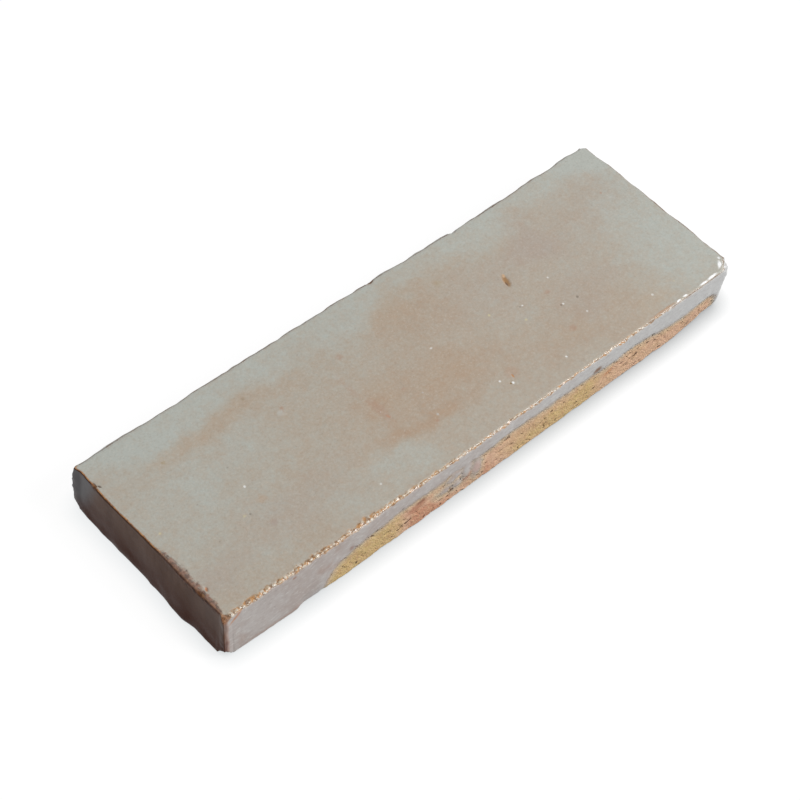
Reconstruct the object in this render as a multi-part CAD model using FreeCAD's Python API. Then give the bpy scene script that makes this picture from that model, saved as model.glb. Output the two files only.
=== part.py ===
import FreeCAD, Part
import math
import os
from collections import namedtuple
from FreeCAD import Vector

# Zellige tile, 5 by 15 cm: terracotta cut to shape by hand, fired, glazed and fired again.
# Sizes are in millimetres. X runs along the tile, Y across it and Z up. The underside lies on
# z = 0 and the glazed face looks up. The glaze is fused to the clay, so the tile is one solid.
# The four sides are named as seen from above the front corner, where the near long side meets
# the near short end. They are listed anticlockwise, and so is every list of places along a side.

# The slab, measured between the arrises of opposite sides
LENGTH = 150.0
WIDTH = 50.0
THICKNESS = 13.9

# The glaze: its thickness on the sides, and the worn arris where it turns over the edge
COAT = 0.35
ARRIS_RADIUS = 0.7
FOOT_RADIUS = 0.6

# The glazed face is never flat: how deep its hollows are, how far apart along and across, and
# how far the first swell lies from the middle of the tile
WAVE_DEPTH = 0.3
WAVE_LENGTH = 95.0
WAVE_WIDTH = 70.0
WAVE_SHIFT = -9.0

# Each cut side: place along it, from -1 at its start to 1 at its end, and there how far its foot
# and its arris stand out of the nominal side. Between two places the cut runs in a soft curve.
NEAR_LONG_CUT = (
    (-1.0, 1.0, 0.7),
    (-0.85, 1.2, 0.85),
    (-0.45, 1.3, 0.9),
    (-0.05, 1.05, 0.75),
    (0.35, 0.6, 0.5),
    (0.7, 0.35, 0.3),
    (0.88, -0.1, 0.25),
    (1.0, -0.7, 0.15),
)
FAR_SHORT_CUT = (
    (-1.0, 0.1, 0.5),
    (-0.4, 0.8, 0.7),
    (0.15, 1.0, 0.85),
    (0.5, 1.4, 1.2),
    (1.0, 1.3, 1.1),
)
FAR_LONG_CUT = (
    (-1.0, 0.3, -0.05),
    (-0.7, 0.0, -0.55),
    (-0.45, -0.1, -0.7),
    (-0.1, 0.3, -0.15),
    (0.35, 0.5, 0.1),
    (1.0, 0.7, 0.1),
)
NEAR_SHORT_CUT = (
    (-1.0, 0.85, 0.1),
    (-0.55, 1.1, 0.4),
    (0.0, 0.9, 0.15),
    (0.4, 1.35, 0.1),
    (0.75, 0.9, 0.05),
    (1.0, 0.7, -0.05),
)

# Corners, rounded by handling before the firing: radius at the foot and at the arris
RIGHT_CORNER = (3.4, 2.2)
FAR_CORNER = (1.8, 1.2)
LEFT_CORNER = (1.8, 1.2)
FRONT_CORNER = (2.2, 1.5)

# How far the glaze ran down each side below the arris, as places and lengths. Below that line
# the clay is bare. The near short end is glazed all over.
TO_FOOT = THICKNESS + 1.5
RIGHT_CORNER_RUN = 8.2
FAR_CORNER_RUN = 5.2
NEAR_LONG_RUNS = (
    (-0.67, TO_FOOT),
    (-0.645, 9.6),
    (-0.605, 6.8),
    (-0.56, 6.2),
    (-0.5, 4.8),
    (-0.42, 4.7),
    (-0.375, 3.9),
    (-0.28, 4.3),
    (-0.215, 5.3),
    (-0.18, 4.3),
    (-0.147, 6.2),
    (-0.11, 4.1),
    (0.03, 3.8),
    (0.15, 4.5),
    (0.26, 4.1),
    (0.395, 4.3),
    (0.475, 5.6),
    (0.545, 4.3),
    (0.61, 4.4),
    (0.705, 6.5),
    (0.8, 7.2),
    (0.9, 7.6),
)
FAR_SHORT_RUNS = (
    (-0.5, 6.0),
    (-0.15, 7.6),
    (0.1, 6.6),
    (0.3, 9.8),
    (0.5, 6.2),
)
FAR_LONG_RUNS = (
    (-0.8, 4.6),
    (-0.62, 6.8),
    (-0.5, 9.2),
    (-0.4, 6.0),
    (-0.15, 5.0),
    (0.05, 6.6),
    (0.2, 5.4),
    (0.38, 7.2),
    (0.45, 10.4),
    (0.52, 6.8),
    (0.7, 5.8),
    (0.82, 9.0),
    (0.88, TO_FOOT),
)

# Chips knocked off the arris: place along the side, radius of the shell-shaped scoop, its depth
NEAR_LONG_CHIPS = ((-0.58, 2.6, 0.3), (0.29, 3.0, 0.35))
FAR_SHORT_CHIPS = ((-0.62, 2.4, 0.3), (0.33, 2.0, 0.5))
FAR_LONG_CHIPS = ((-0.43, 1.9, 0.5), (-0.07, 2.6, 0.4))
NEAR_SHORT_CHIPS = ((-0.74, 2.0, 0.3), (0.68, 2.2, 0.35))
# Chips out of corners: radius of the scoop, and depth below the sharp corner
RIGHT_ARRIS_CHIP = (6.0, 2.1)
FRONT_ARRIS_CHIP = (3.8, 1.8)
LEFT_ARRIS_CHIP = (2.6, 1.0)
RIGHT_FOOT_CHIP = (6.5, 2.4)
FRONT_FOOT_CHIP = (4.0, 1.9)
# The upright edge of the left corner lost a flake too: its radius and depth, and its height
LEFT_EDGE_CHIP = (3.2, 1.1)
LEFT_EDGE_CHIP_HEIGHT = 9.8

# Room that a cutting solid has past the surface that it cuts
SPARE = 4.0
# Spans of the grid of points that carries the wavy face
WAVE_SPANS_ALONG = 16
WAVE_SPANS_ACROSS = 8

ALONG = Vector(1, 0, 0)
ACROSS = Vector(0, 1, 0)
UP = Vector(0, 0, 1)

Side = namedtuple("Side", "along outward half_run half_gap cut corner")
NEAR_LONG = Side(ALONG, -ACROSS, LENGTH / 2, WIDTH / 2, NEAR_LONG_CUT, RIGHT_CORNER)
FAR_SHORT = Side(ACROSS, ALONG, WIDTH / 2, LENGTH / 2, FAR_SHORT_CUT, FAR_CORNER)
FAR_LONG = Side(-ALONG, ACROSS, LENGTH / 2, WIDTH / 2, FAR_LONG_CUT, LEFT_CORNER)
NEAR_SHORT = Side(-ACROSS, -ALONG, WIDTH / 2, LENGTH / 2, NEAR_SHORT_CUT, FRONT_CORNER)
SIDES = (NEAR_LONG, FAR_SHORT, FAR_LONG, NEAR_SHORT)


def at_height(foot, arris, height):
    """Value on the straight cut between its foot and its arris, or on past the arris."""
    return foot + (arris - foot) * height / THICKNESS


def standing_out(side, station, height):
    """How far one place of a side stands out of the nominal side at a height."""
    place, foot, arris = side.cut[station]
    return at_height(foot, arris, height)


def outline(height, inset):
    """Closed outline of the tile at one height, moved inwards by the inset."""
    edges = []
    for number, side in enumerate(SIDES):
        before = SIDES[number - 1]
        after = SIDES[(number + 1) % len(SIDES)]
        start_radius = at_height(*before.corner, height) - inset
        end_radius = at_height(*side.corner, height) - inset
        start = start_radius - before.half_gap - standing_out(before, -1, height) + inset
        end = after.half_gap + standing_out(after, 0, height) - inset - end_radius
        reaches = [start] + [place * side.half_run for place, foot, arris in side.cut[1:-1]] + [end]
        points = []
        for station, reach in enumerate(reaches):
            out = side.half_gap + standing_out(side, station, height) - inset
            points.append(side.along * reach + side.outward * out + UP * height)
        cut = Part.BSplineCurve()
        cut.interpolate(Points=points, InitialTangent=side.along, FinalTangent=side.along)
        edges.append(cut.toShape())
        centre = points[-1] - side.outward * end_radius
        middle = centre + (side.outward + after.outward) * (end_radius / math.sqrt(2))
        edges.append(Part.Arc(points[-1], middle, centre + after.outward * end_radius).toShape())
    return Part.Wire(edges)


def face_height(x, y):
    """Height of the glazed face, which lies in shallow hollows below the full thickness."""
    along = math.cos(2 * math.pi * (x - WAVE_SHIFT) / WAVE_LENGTH)
    across = math.cos(2 * math.pi * y / WAVE_WIDTH)
    return THICKNESS - WAVE_DEPTH * (1 - along * across) / 2


def waves_above():
    """Everything above the wavy glazed face."""
    half_length = LENGTH / 2 + SPARE
    half_width = WIDTH / 2 + SPARE
    rows = []
    for i in range(WAVE_SPANS_ALONG + 1):
        x = half_length * (2 * i / WAVE_SPANS_ALONG - 1)
        row = []
        for j in range(WAVE_SPANS_ACROSS + 1):
            y = half_width * (2 * j / WAVE_SPANS_ACROSS - 1)
            row.append(Vector(x, y, face_height(x, y)))
        rows.append(row)
    surface = Part.BSplineSurface()
    surface.interpolate(rows)
    return surface.toShape().extrude(UP * (2 * SPARE))


def slab(inset, top):
    """Block with the hand-cut sides, from the underside to a flat top."""
    return Part.makeLoft([outline(0, inset), outline(top, inset)], True, True)


def foot_edges(body):
    """Edges round the underside."""
    underside = min(body.Faces, key=lambda face: face.CenterOfMass.z)
    return underside.Edges


def glazed_body():
    """The tile as if the glaze covered every side down to the foot."""
    body = slab(0, THICKNESS + SPARE / 2).cut(waves_above())
    face = max(body.Faces, key=lambda face: face.CenterOfMass.z)
    body = body.makeFillet(ARRIS_RADIUS, face.Edges)
    return body.makeFillet(FOOT_RADIUS, foot_edges(body))


def clay_body():
    """The bare clay under the glaze."""
    body = slab(COAT, THICKNESS - WAVE_DEPTH - COAT - ARRIS_RADIUS)
    return body.makeFillet(FOOT_RADIUS, foot_edges(body))


def bare_zone(side, runs, start_run, end_run):
    """Solid that takes the glaze off one side, below the line where the runs of it stopped.

    A start or end run is where the line goes on round that corner, level across it."""
    def spot(reach, run):
        return side.along * reach + side.outward * (side.half_gap + SPARE) + UP * (THICKNESS - run)

    line = [spot(place * side.half_run, run) for place, run in runs]
    past = side.half_run + SPARE
    shoulder = side.half_run - SPARE
    level = {}
    if start_run:
        line.insert(0, spot(-shoulder, start_run))
        level["InitialTangent"] = side.along
    if end_run:
        line.append(spot(shoulder, end_run))
        level["FinalTangent"] = side.along
    curve = Part.BSplineCurve()
    curve.interpolate(Points=line, **level)
    first = spot(-past, start_run) if start_run else line[0]
    last = spot(past, end_run) if end_run else line[-1]
    ground = THICKNESS + SPARE
    corners = [last, spot(last.dot(side.along), ground), spot(first.dot(side.along), ground), first]
    if start_run:
        corners.append(line[0])
    if end_run:
        corners.insert(0, line[-1])
    edges = [Part.LineSegment(a, b).toShape() for a, b in zip(corners, corners[1:])]
    wire = Part.Wire([curve.toShape()] + edges)
    return Part.Face(wire).extrude(side.outward * (-2 * SPARE))


def arris_out(side, place):
    """How far the arris stands out of the nominal side, read straight between two places."""
    for (low, low_foot, low_arris), (high, high_foot, high_arris) in zip(side.cut, side.cut[1:]):
        if low <= place <= high:
            return low_arris + (high_arris - low_arris) * (place - low) / (high - low)


def chip(side, place, radius, depth):
    """Scoop knocked out of the rounded arris of a side, as broken glaze and clay leave it."""
    arris = side.along * (place * side.half_run)
    arris = arris + side.outward * (side.half_gap + arris_out(side, place))
    arris = arris + UP * face_height(arris.x, arris.y)
    rounded_off = ARRIS_RADIUS * (math.sqrt(2) - 1)
    away = (side.outward + UP).normalize() * (radius - depth - rounded_off)
    return Part.makeSphere(radius, arris + away)


def corner_chip(side, after, facing, height, size):
    """Scoop out of the corner between a side and the next one, at the arris, the foot or between."""
    radius, depth = size
    corner = side.along * side.half_run + side.outward * side.half_gap + UP * height
    away = (side.outward + after.outward + facing).normalize()
    return Part.makeSphere(radius, corner + away * (radius - depth))


def tile():
    """The whole tile: clay, the glaze that ran over it, and the chips along its edges."""
    body = glazed_body()
    body = body.cut(bare_zone(NEAR_LONG, NEAR_LONG_RUNS, None, RIGHT_CORNER_RUN))
    body = body.cut(bare_zone(FAR_SHORT, FAR_SHORT_RUNS, RIGHT_CORNER_RUN, FAR_CORNER_RUN))
    body = body.cut(bare_zone(FAR_LONG, FAR_LONG_RUNS, FAR_CORNER_RUN, None))
    body = body.fuse(clay_body()).removeSplitter()
    chips = [chip(NEAR_LONG, *size) for size in NEAR_LONG_CHIPS]
    chips += [chip(FAR_SHORT, *size) for size in FAR_SHORT_CHIPS]
    chips += [chip(FAR_LONG, *size) for size in FAR_LONG_CHIPS]
    chips += [chip(NEAR_SHORT, *size) for size in NEAR_SHORT_CHIPS]
    chips.append(corner_chip(NEAR_LONG, FAR_SHORT, UP, THICKNESS, RIGHT_ARRIS_CHIP))
    chips.append(corner_chip(NEAR_SHORT, NEAR_LONG, UP, THICKNESS, FRONT_ARRIS_CHIP))
    chips.append(corner_chip(FAR_LONG, NEAR_SHORT, UP, THICKNESS, LEFT_ARRIS_CHIP))
    chips.append(corner_chip(NEAR_LONG, FAR_SHORT, -UP, 0, RIGHT_FOOT_CHIP))
    chips.append(corner_chip(NEAR_SHORT, NEAR_LONG, -UP, 0, FRONT_FOOT_CHIP))
    chips.append(corner_chip(FAR_LONG, NEAR_SHORT, Vector(), LEFT_EDGE_CHIP_HEIGHT, LEFT_EDGE_CHIP))
    return body.cut(chips)


def centred(body):
    """The tile moved so that the origin lies under the middle of its box."""
    middle = body.optimalBoundingBox(False, False).Center
    body.translate(Vector(-middle.x, -middle.y, 0))
    return body


os.makedirs("parts", exist_ok=True)
solids = centred(tile()).Solids
solids[0].exportStep("parts/zellige_tile.step")
print("solids", len(solids), "valid", solids[0].isValid(), "faces", len(solids[0].Faces))
print("volume in cm3", round(solids[0].Volume / 1000, 2))
print("box", solids[0].optimalBoundingBox(False, False))
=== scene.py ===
# %% [markdown]
# # A zellige tile
# The real thing is one slab of clay, cut by hand, dipped in a milky glaze and fired. The glaze
# covers the face, runs a little way down the sides and stops in an uneven line above bare clay.
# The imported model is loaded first, and everything below is fitted to it. Lengths are written in
# millimetres and multiplied by MM, because Blender's own unit is the metre.

# %% Load the frame
import math

import bmesh
import bpy
import numpy as np
from mathutils import Matrix, Vector, noise


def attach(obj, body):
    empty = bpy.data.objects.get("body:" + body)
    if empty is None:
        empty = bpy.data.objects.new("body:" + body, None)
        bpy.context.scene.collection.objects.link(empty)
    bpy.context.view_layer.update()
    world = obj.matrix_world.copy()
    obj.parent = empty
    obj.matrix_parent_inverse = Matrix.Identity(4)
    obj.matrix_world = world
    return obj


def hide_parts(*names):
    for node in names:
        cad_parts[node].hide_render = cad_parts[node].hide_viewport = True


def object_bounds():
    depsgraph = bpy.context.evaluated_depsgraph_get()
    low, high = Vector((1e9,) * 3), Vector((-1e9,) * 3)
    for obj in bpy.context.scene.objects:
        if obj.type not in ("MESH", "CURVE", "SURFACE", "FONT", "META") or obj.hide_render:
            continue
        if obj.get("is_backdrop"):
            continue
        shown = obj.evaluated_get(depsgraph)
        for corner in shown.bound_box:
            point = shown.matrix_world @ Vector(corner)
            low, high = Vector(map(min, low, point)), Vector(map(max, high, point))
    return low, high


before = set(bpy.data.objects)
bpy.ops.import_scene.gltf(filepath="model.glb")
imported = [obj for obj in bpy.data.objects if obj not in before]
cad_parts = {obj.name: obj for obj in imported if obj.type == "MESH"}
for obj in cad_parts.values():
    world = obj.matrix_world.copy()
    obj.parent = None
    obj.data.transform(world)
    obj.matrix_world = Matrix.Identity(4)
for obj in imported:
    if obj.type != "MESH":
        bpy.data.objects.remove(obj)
cad_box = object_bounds()
MM = 0.001
box_low, box_high = (np.array(corner) / MM for corner in cad_box)
print("box of the packed tile, mm:", (box_high - box_low).round(2))

# %% [markdown]
# ## The camera
# The photo looks down on the tile from beyond its left front corner, through a long lens. A camera
# could be placed by its own coordinates, but a turn, a rise and a distance round a target are
# easier to understand and to change.

# %% Place the camera
VIEW_TURN = math.radians(-44.40)
VIEW_RISE = math.radians(51.14)
VIEW_ROLL = math.radians(3.52)
VIEW_DISTANCE = 496.3
VIEW_TARGET = Vector((-2.69, 2.50, 0.0))
LENS = 99.0


def looking_at(target, turn, rise, distance, roll=0.0):
    """The place and turn of a camera or lamp that faces a target, all in millimetres."""
    back = Vector((math.sin(turn) * math.cos(rise), -math.cos(turn) * math.cos(rise), math.sin(rise)))
    across = Vector((math.cos(turn), math.sin(turn), 0.0))
    upward = back.cross(across)
    across, upward = (
        across * math.cos(roll) + upward * math.sin(roll),
        upward * math.cos(roll) - across * math.sin(roll),
    )
    placed = Matrix((across, upward, back)).transposed().to_4x4()
    placed.translation = (target + back * distance) * MM
    return placed


camera = bpy.data.objects.new("camera", bpy.data.cameras.new("camera"))
camera.data.lens = LENS
camera.data.clip_start = 0.01
camera.matrix_world = looking_at(VIEW_TARGET, VIEW_TURN, VIEW_RISE, VIEW_DISTANCE, VIEW_ROLL)
bpy.context.scene.collection.objects.link(camera)
bpy.context.scene.camera = camera
print("camera at, mm:", [round(value / MM, 1) for value in camera.location])

# %% [markdown]
# ## The light
# The photo has soft light from the right front, so the long side in view is as bright as the face
# and the short end is dark. A wide lamp gives that, a weaker low one puts the glints on the right
# corner, a third low in front lifts the long side, and a dim white world fills the rest.

# %% Hang the lamps
WORLD_LEVEL = 0.36


def lamp(name, turn, rise, distance, width, height, power):
    """A soft rectangular lamp that faces the tile."""
    light = bpy.data.lights.new(name, "AREA")
    light.shape = "RECTANGLE"
    light.size, light.size_y = width * MM, height * MM
    light.energy = power
    placed = bpy.data.objects.new(name, light)
    placed.matrix_world = looking_at(Vector((0.0, 0.0, 0.0)), turn, rise, distance)
    bpy.context.scene.collection.objects.link(placed)
    return placed


lamp("window", math.radians(32), math.radians(44), 1200, 460, 460, 12.8)
lamp("side_lamp", math.radians(96), math.radians(17), 900, 160, 260, 1.2)
lamp("front_lamp", math.radians(8), math.radians(10), 1000, 500, 200, 1.1)

world = bpy.data.worlds.new("studio")
world.use_nodes = True
bpy.context.scene.world = world


def make(tree, kind, inputs=None, **settings):
    """Adds a node, sets its settings and fills its inputs with values or with other nodes' outputs."""
    made = tree.nodes.new(kind)
    for name, value in settings.items():
        setattr(made, name, value)
    for name, value in (inputs or {}).items():
        if isinstance(value, bpy.types.NodeSocket):
            tree.links.new(value, made.inputs[name])
        else:
            made.inputs[name].default_value = value
    return made


def maths(tree, operation, *values):
    """One sum on numbers, such as ADD or MULTIPLY."""
    return make(tree, "ShaderNodeMath", dict(enumerate(values)), operation=operation).outputs[0]


def seen_as_backdrop(tree):
    """1 for what the camera, a reflection or clear glass sees, and 0 for the light on things."""
    path = make(tree, "ShaderNodeLightPath")
    seen = maths(tree, "MAXIMUM", path.outputs["Is Camera Ray"], path.outputs["Is Glossy Ray"])
    return maths(tree, "MAXIMUM", seen, path.outputs["Is Transmission Ray"])


sky = world.node_tree
sky.nodes.clear()
lit = maths(sky, "MULTIPLY_ADD", seen_as_backdrop(sky), 1.0 - WORLD_LEVEL, WORLD_LEVEL)
glow = make(sky, "ShaderNodeBackground", {"Color": (1.0, 1.0, 1.0, 1.0), "Strength": lit})
sky.links.new(glow.outputs[0], make(sky, "ShaderNodeOutputWorld").inputs[0])

# %% [markdown]
# ## The floor
# The photo's ground is plain white with a faint shadow at the tile's foot. A white sheet under
# strong light would do it, but the tile would be too bright. So the floor is a matt sheet, and what
# the camera sees of it has white of its own, dimmed close to the tile where little sky is open. The
# photo's shadow is a thin one, darker and bluer towards the right.

# %% Lay the floor
FLOOR_SIZE = 6000
FLOOR_MATT = (0.08, 0.08, 0.08, 1.0)
FLOOR_OWN_WHITE = 0.95
CONTACT_REACH = 5.0
SHADOW_SPAN = (-80, 70)
SHADOW_DEPTH = (0.22, 0.86)
SHADOW_TINT = (0.94, 0.985, 1.0, 1.0)


def floor_finish():
    """Matt white paper, lifted to white where it is seen."""
    paper = bpy.data.materials.new("white_paper")
    paper.use_nodes = True
    tree = paper.node_tree
    tree.nodes.clear()
    matt = make(tree, "ShaderNodeBsdfDiffuse", {"Color": FLOOR_MATT})
    open_sky = make(
        tree, "ShaderNodeAmbientOcclusion", {"Distance": CONTACT_REACH * MM}, samples=16
    ).outputs["AO"]
    spot = make(tree, "ShaderNodeTexCoord").outputs["Object"]
    right, back, _ = make(tree, "ShaderNodeSeparateXYZ", {0: spot}).outputs
    darkest = make(tree, "ShaderNodeMapRange", {
        "Value": maths(tree, "SUBTRACT", right, back),
        "From Min": SHADOW_SPAN[0] * MM, "From Max": SHADOW_SPAN[1] * MM,
        "To Min": SHADOW_DEPTH[0], "To Max": SHADOW_DEPTH[1],
    }).outputs[0]
    shade = maths(tree, "MULTIPLY", darkest, maths(tree, "SUBTRACT", 1.0, open_sky))
    lifted = maths(tree, "MULTIPLY_ADD", shade, -1.0, FLOOR_OWN_WHITE)
    own = maths(tree, "MULTIPLY", seen_as_backdrop(tree), lifted)
    tint = make(
        tree, "ShaderNodeMix", {0: open_sky, 6: SHADOW_TINT, 7: (1.0, 1.0, 1.0, 1.0)}, data_type="RGBA"
    )
    white = make(tree, "ShaderNodeEmission", {"Color": tint.outputs[2], "Strength": own})
    both = make(tree, "ShaderNodeAddShader", {0: matt.outputs[0], 1: white.outputs[0]})
    tree.links.new(both.outputs[0], make(tree, "ShaderNodeOutputMaterial").inputs[0])
    return paper


sheet = bmesh.new()
bmesh.ops.create_grid(sheet, x_segments=1, y_segments=1, size=FLOOR_SIZE / 2 * MM)
floor = bpy.data.objects.new("floor", bpy.data.meshes.new("floor"))
sheet.to_mesh(floor.data)
sheet.free()
floor.data.materials.append(floor_finish())
bpy.context.scene.collection.objects.link(floor)
floor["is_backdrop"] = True
print("floor:", tuple(floor.dimensions))

# %% [markdown]
# ## Marks in the glaze
# Pinholes, specks of iron, rusty streaks and a chip that shows the clay are scattered over the
# face. They are smaller than the grid of the blank, so they are listed before it is made, and the
# grid is cut finer round the plainer of them. A row says where the mark is, how large, how far it is
# turned, its colour, how strong that is and how deep the mark lies in the glaze. The white pinholes
# carry a painted glint, and a dark spot beside some of them is the painted shade in the pit. The
# white patches along the right end of the near arris and round the right corner are painted
# highlights, the glare of the lamp on the rounded glaze.

# %% List the marks


def paint(red, green, blue):
    """A colour as a screen shows it, 0 to 255, as the amounts of light that Blender works with."""
    light = (
        ((part / 255 + 0.055) / 1.055) ** 2.4 if part > 10 else part / 3295
        for part in (red, green, blue)
    )
    return (*light, 1.0)


RUST, ORANGE, CREAM = paint(162, 112, 86), paint(176, 112, 76), paint(206, 196, 150)
# The white is a pale pinhole with a painted glint. The dark grey-brown after it is an iron speck, and
# beside a glint it is the painted shade in a pit.
WHITE, SPECK_AND_PIT_SHADE, PALE = paint(232, 234, 232), paint(78, 68, 54), paint(186, 188, 184)
# This palest white is a painted highlight: the lamp's glare on the rounded glaze.
PAINTED_GLARE = paint(248, 249, 250)
MARKS = (
    ((31.4, 5.2), (1.0, 2.6), -14, paint(150, 108, 58), 0.85, 0.14),
    ((31.0, 4.6), (0.5, 1.5), -14, paint(92, 58, 24), 0.85, 0.08),
    ((32.0, 6.6), (0.5, 0.9), -14, paint(208, 164, 116), 0.6, 0.0),
    ((-15.6, -4.6), (1.7, 5.6), 0, RUST, 0.25, 0.0), ((-15.6, -4.2), (0.6, 1.5), 0, RUST, 0.5, 0.0),
    ((-16.9, 4.0), (1.1, 5.5), 4, RUST, 0.14, 0.0), ((-15.5, -7.0), (0.6, 1.4), 20, ORANGE, 0.5, 0.0),
    ((-15.9, -5.3), (0.4, 0.4), 0, WHITE, 0.6, -0.03),
    ((13.3, -15.9), (0.45, 1.5), -12, paint(182, 120, 56), 0.85, 0.04),
    ((13.6, -15.4), (2.4, 2.2), 0, RUST, 0.2, 0.0), ((9.9, -15.6), (0.45, 0.45), 0, WHITE, 0.8, 0.0),
    # A pinhole's painted glint, and under it the painted shade in its pit.
    ((11.9, -17.7), (0.45, 0.5), 0, WHITE, 1.0, 0.0),
    ((11.4, -17.5), (0.4, 0.35), 0, paint(120, 92, 30), 0.9, 0.1),
    ((26.2, -19.9), (0.4, 0.4), 0, WHITE, 0.8, 0.06), ((-51.0, -1.8), (0.4, 0.5), 0, WHITE, 0.7, 0.06),
    ((4.6, 1.1), (0.5, 0.35), 0, WHITE, 0.6, 0.03), ((39.5, -0.1), (0.35, 0.4), 0, WHITE, 0.6, 0.03),
    # A pinhole's painted glint and, beside it, the painted shade in its pit.
    ((29.1, -2.6), (0.4, 0.35), 0, WHITE, 0.7, 0.0), ((28.4, -2.5), (0.4, 0.35), 0, SPECK_AND_PIT_SHADE, 0.4, 0.1),
    ((-28.6, -19.8), (0.4, 0.4), 0, WHITE, 0.5, 0.03), ((-43.0, 0.5), (0.4, 0.4), 0, WHITE, 0.35, 0.03),
    ((21.2, 0.0), (0.5, 0.5), 0, CREAM, 0.5, -0.03), ((26.8, -6.2), (0.5, 0.5), 0, CREAM, 0.5, -0.03),
    ((39.2, -13.3), (0.4, 0.4), 0, WHITE, 0.5, 0.03),
    ((54.2, -19.3), (0.45, 0.45), 0, WHITE, 0.5, 0.04),
    ((61.0, -19.4), (0.45, 0.45), 0, CREAM, 0.4, 0.0), ((-72.0, 0.0), (0.45, 0.45), 0, CREAM, 0.5, 0.0),
    ((-50.6, 4.5), (0.5, 0.5), 0, SPECK_AND_PIT_SHADE, 0.35, 0.05), ((-54.6, -8.1), (0.45, 0.4), 0, SPECK_AND_PIT_SHADE, 0.5, 0.08),
    ((-55.9, -7.8), (0.6, 0.5), 0, CREAM, 0.4, -0.03), ((-63.8, -9.6), (0.4, 0.4), 0, SPECK_AND_PIT_SHADE, 0.35, 0.05),
    # The white speck at 36.6 mm and the dark one at 36.0 mm are a pinhole's painted glint and the
    # painted shade in its pit.
    ((-61.5, 0.8), (0.45, 0.4), 0, SPECK_AND_PIT_SHADE, 0.3, 0.05), ((36.6, -8.2), (0.4, 0.4), 0, WHITE, 0.7, 0.0),
    ((36.0, -8.1), (0.4, 0.4), 0, SPECK_AND_PIT_SHADE, 0.5, 0.1), ((40.5, -8.7), (0.5, 0.5), 0, SPECK_AND_PIT_SHADE, 0.5, 0.08),
    ((-2.4, -3.0), (0.5, 0.6), 10, SPECK_AND_PIT_SHADE, 0.4, 0.05), ((-7.3, -5.3), (0.4, 0.4), 0, SPECK_AND_PIT_SHADE, 0.25, 0.03),
    ((-7.8, -3.4), (1.0, 0.6), 30, RUST, 0.25, 0.0), ((-6.8, -13.6), (0.4, 0.5), 0, PALE, 0.6, 0.0),
    ((-8.0, -14.8), (0.7, 0.5), 0, RUST, 0.35, 0.0), ((-5.3, -7.1), (0.4, 0.4), 0, PALE, 0.5, 0.0),
    ((-2.9, -16.5), (0.4, 0.4), 0, SPECK_AND_PIT_SHADE, 0.35, 0.03), ((14.4, 8.3), (0.6, 0.6), 0, SPECK_AND_PIT_SHADE, 0.25, 0.04),
    ((-52.2, -13.0), (1.4, 1.2), 0, paint(150, 128, 120), 0.35, 0.0),
    ((33.2, -14.8), (1.5, 1.3), 0, RUST, 0.3, 0.0), ((36.4, -3.2), (1.3, 0.8), 0, RUST, 0.35, 0.0),
    ((-12.7, 12.2), (1.2, 1.5), 30, RUST, 0.25, 0.0), ((-31.6, 9.2), (0.7, 0.9), 0, RUST, 0.35, 0.0),
    ((-32.6, 8.4), (1.3, 1.1), 0, PALE, 0.4, -0.05),
    ((-60.2, 14.0), (1.0, 0.8), 0, paint(152, 126, 80), 0.35, 0.0),
    ((18.8, 14.5), (1.6, 1.4), 0, paint(160, 138, 96), 0.25, 0.0),
    ((-36.5, 16.7), (0.7, 0.6), 0, paint(112, 100, 70), 0.4, 0.05),
    ((68.8, 8.5), (0.9, 0.7), 0, PALE, 0.35, 0.08), ((67.8, 11.0), (0.4, 0.4), 0, RUST, 0.5, 0.0),
    ((65.5, 9.0), (0.9, 0.7), 0, PALE, 0.25, 0.0), ((-16.9, 8.2), (1.1, 1.5), 0, PALE, 0.2, -0.04),
    ((-50.2, -6.6), (1.9, 1.4), 0, paint(176, 140, 108), 0.25, 0.0),
    ((-24.9, -12.5), (0.5, 0.5), 0, PALE, 0.4, 0.03),
    ((-73.4, -17.0), (0.8, 0.5), 60, paint(186, 124, 84), 0.9, 0.25),
    ((-74.9, 17.7), (1.0, 0.45), -50, paint(70, 50, 36), 0.8, 0.12),
    # Painted highlights: the glare of the lamp along the right end of the near arris and round the right
    # corner.
    ((65.9, -25.1), (1.7, 0.6), 0, PAINTED_GLARE, 0.9, 0.0),
    ((68.9, -24.9), (2.2, 0.75), 4, PAINTED_GLARE, 1.0, 0.0),
    ((57.5, -25.2), (1.0, 0.5), 10, PAINTED_GLARE, 0.9, 0.0),
    ((59.7, -25.0), (0.9, 0.5), -10, PAINTED_GLARE, 0.9, 0.0),
    ((72.9, -22.8), (1.9, 0.7), 48, PAINTED_GLARE, 0.9, 0.0),
    ((74.6, -21.2), (0.6, 0.6), 0, PAINTED_GLARE, 0.6, 0.0),
    ((75.4, -22.2), (0.5, 0.6), 0, paint(126, 92, 60), 0.8, 0.0),
    ((74.6, -24.4), (0.6, 0.5), 0, paint(150, 112, 78), 0.8, 0.0),
    ((52.4, -25.0), (6.0, 0.7), 0, paint(172, 124, 86), 0.5, 0.0),
)
print("marks on the face:", len(MARKS))

# %% [markdown]
# ## The blank
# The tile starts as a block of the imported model's size, cut into a fine grid. The rows lie closer
# together towards the edges, where the chips and beads are, and twice as close along the tile on
# the face and the long sides as on the underside, which needs the least detail. Along the beads
# they are twice as close again.

# %% Cut the blank into a grid
ROWS_ALONG = 210
ROWS_ACROSS = 80
ROWS_UP = 34
CROWDING = (0.40, 0.62, 0.40)


def rows_along(blank, axis, wanted=None):
    """The blank's edges that run along one axis, or only those whose middle is wanted."""
    found = []
    for edge in blank.edges:
        run = edge.verts[1].co - edge.verts[0].co
        if abs(run[axis]) > 0.999 * run.length:
            if wanted is None or wanted((edge.verts[0].co + edge.verts[1].co) / 2):
                found.append(edge)
    return found


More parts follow.
